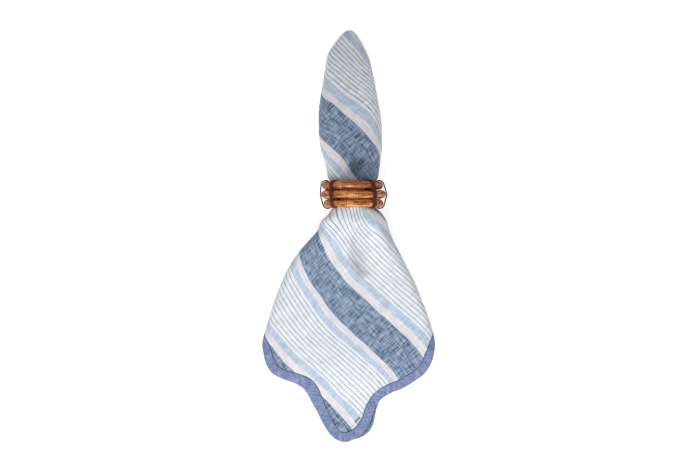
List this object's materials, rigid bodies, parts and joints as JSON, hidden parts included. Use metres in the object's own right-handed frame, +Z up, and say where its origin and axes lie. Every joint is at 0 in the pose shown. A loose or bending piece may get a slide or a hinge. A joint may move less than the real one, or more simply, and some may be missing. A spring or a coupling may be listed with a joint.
{
  "type": "cloth napkin in a ring",
  "caption": "Striped linen napkin with a scalloped bound edge, folded in quarters and drawn through a ring of bent bamboo canes held by split-cane ties, lying flat.",
  "frame": {"origin": "on the ground under the middle of the whole, at the bottom centre of its bounding box", "axes": "+Y from the bound corner along the napkin to its folded tip, +X across, +Z up"},
  "size_m": [0.147, 0.35, 0.0549],
  "materials": {
    "cloth": "plain weave linen, white with blue stripes",
    "binding": "plain weave bias strip, periwinkle blue",
    "cane": "scorched bamboo, clear gloss",
    "tie": "dark split cane, satin"
  },
  "bodies": {
    "root": {"cloth": "cloth", "binding": "binding", "cane_upper": "cane", "cane_middle": "cane", "cane_lower": "cane", "tie_front_left": "tie", "tie_front_right": "tie", "tie_side_left": "tie", "tie_side_right": "tie", "tie_back_left": "tie", "tie_back_right": "tie"}
  },
  "joints": []
}
